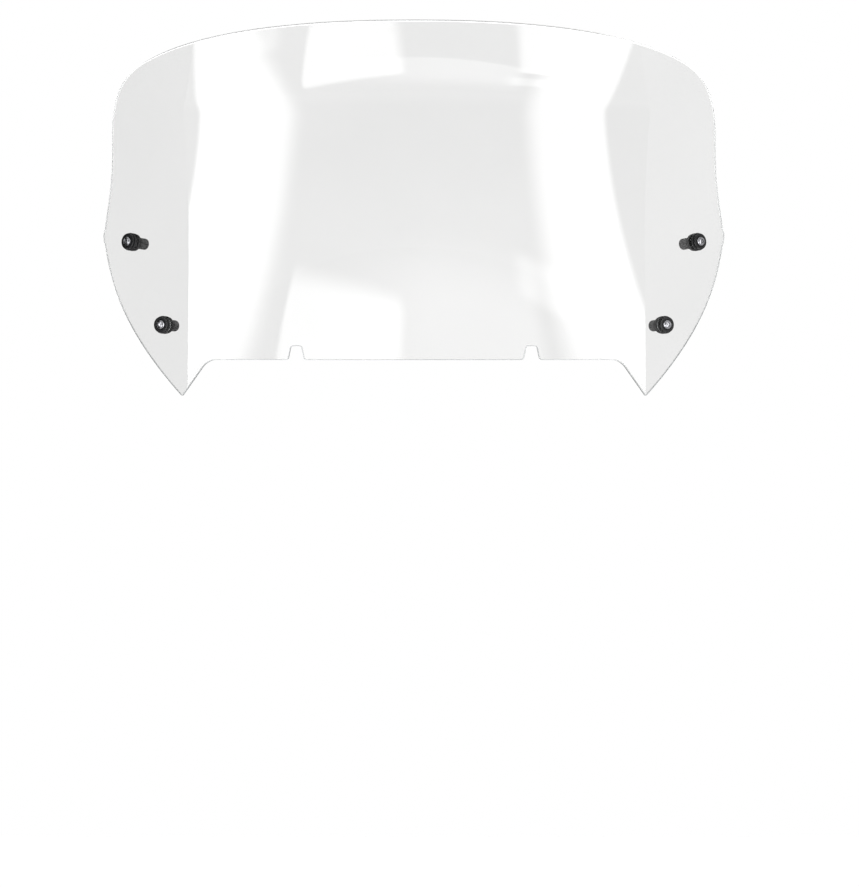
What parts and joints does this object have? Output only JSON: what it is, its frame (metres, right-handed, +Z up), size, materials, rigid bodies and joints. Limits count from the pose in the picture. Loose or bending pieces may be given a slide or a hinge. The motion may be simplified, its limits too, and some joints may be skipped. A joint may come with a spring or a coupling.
{
  "type": "motorcycle windshield screen",
  "caption": "Clear bent motorcycle windshield with a turned lip, lower side tips and bottom notches, held by button-head screws in rubber grommets and well nuts.",
  "frame": {"origin": "centre of the four-hole mounting pattern, on the centre plane and level with the mean of the four hole centres on the outer face", "axes": "-Y out of the screen's outer, windward face; +Z up the screen to its lip; +X to the rider's left"},
  "size_m": [0.6996, 0.1828, 0.4215],
  "materials": {
    "clear_sheet": "clear, polished, faintly grey",
    "rubber": "matt moulded rubber",
    "black_nylon": "satin moulded nylon",
    "dark_steel": "glossy black-zinc plating",
    "zinc_steel": "bright zinc plating",
    "brass": "machined"
  },
  "bodies": {
    "screen_assembly": {"screen": "clear_sheet", "grommet_upper_left": "rubber", "sleeve_upper_left": "zinc_steel", "well_nut_upper_left": "rubber", "insert_upper_left": "brass", "grommet_upper_right": "rubber", "sleeve_upper_right": "zinc_steel", "well_nut_upper_right": "rubber", "insert_upper_right": "brass", "grommet_lower_left": "rubber", "sleeve_lower_left": "zinc_steel", "well_nut_lower_left": "rubber", "insert_lower_left": "brass", "grommet_lower_right": "rubber", "sleeve_lower_right": "zinc_steel", "well_nut_lower_right": "rubber", "insert_lower_right": "brass"},
    "washer_upper_left": {"washer_upper_left": "black_nylon"},
    "screw_upper_left": {"screw_upper_left": "dark_steel"},
    "washer_upper_right": {"washer_upper_right": "black_nylon"},
    "screw_upper_right": {"screw_upper_right": "dark_steel"},
    "washer_lower_left": {"washer_lower_left": "black_nylon"},
    "screw_lower_left": {"screw_lower_left": "dark_steel"},
    "washer_lower_right": {"washer_lower_right": "black_nylon"},
    "screw_lower_right": {"screw_lower_right": "dark_steel"}
  },
  "joints": [
    {"name": "screw_lift_upper_left", "type": "slide", "parent": "screen_assembly", "child": "washer_upper_left", "axis": [0.6758, -0.7279, 0.1157], "range_m": [0, 0.008]},
    {"name": "screw_turn_upper_left", "type": "hinge", "parent": "washer_upper_left", "child": "screw_upper_left", "pos_m": [0.3185, 0.01954, 0.0465], "axis": [0.6758, -0.7279, 0.1157], "range_deg": [0, 2880]},
    {"name": "screw_lift_upper_right", "type": "slide", "parent": "screen_assembly", "child": "washer_upper_right", "axis": [-0.6758, -0.7279, 0.1157], "range_m": [0, 0.008]},
    {"name": "screw_turn_upper_right", "type": "hinge", "parent": "washer_upper_right", "child": "screw_upper_right", "pos_m": [-0.3185, 0.01954, 0.0465], "axis": [-0.6758, -0.7279, 0.1157], "range_deg": [0, 2880]},
    {"name": "screw_lift_lower_left", "type": "slide", "parent": "screen_assembly", "child": "washer_lower_left", "axis": [0.5335, -0.8442, 0.0518], "range_m": [0, 0.008]},
    {"name": "screw_turn_lower_left", "type": "hinge", "parent": "washer_lower_left", "child": "screw_lower_left", "pos_m": [0.2813, -0.01954, -0.0465], "axis": [0.5335, -0.8442, 0.0518], "range_deg": [0, 2880]},
    {"name": "screw_lift_lower_right", "type": "slide", "parent": "screen_assembly", "child": "washer_lower_right", "axis": [-0.5335, -0.8442, 0.0518], "range_m": [0, 0.008]},
    {"name": "screw_turn_lower_right", "type": "hinge", "parent": "washer_lower_right", "child": "screw_lower_right", "pos_m": [-0.2813, -0.01954, -0.0465], "axis": [-0.5335, -0.8442, 0.0518], "range_deg": [0, 2880]}
  ],
  "couplings": [
    {"joint": "screw_turn_upper_left", "follows": "screw_lift_upper_left", "rad_per_m": 6283.2},
    {"joint": "screw_turn_upper_right", "follows": "screw_lift_upper_right", "rad_per_m": 6283.2},
    {"joint": "screw_turn_lower_left", "follows": "screw_lift_lower_left", "rad_per_m": 6283.2},
    {"joint": "screw_turn_lower_right", "follows": "screw_lift_lower_right", "rad_per_m": 6283.2}
  ]
}
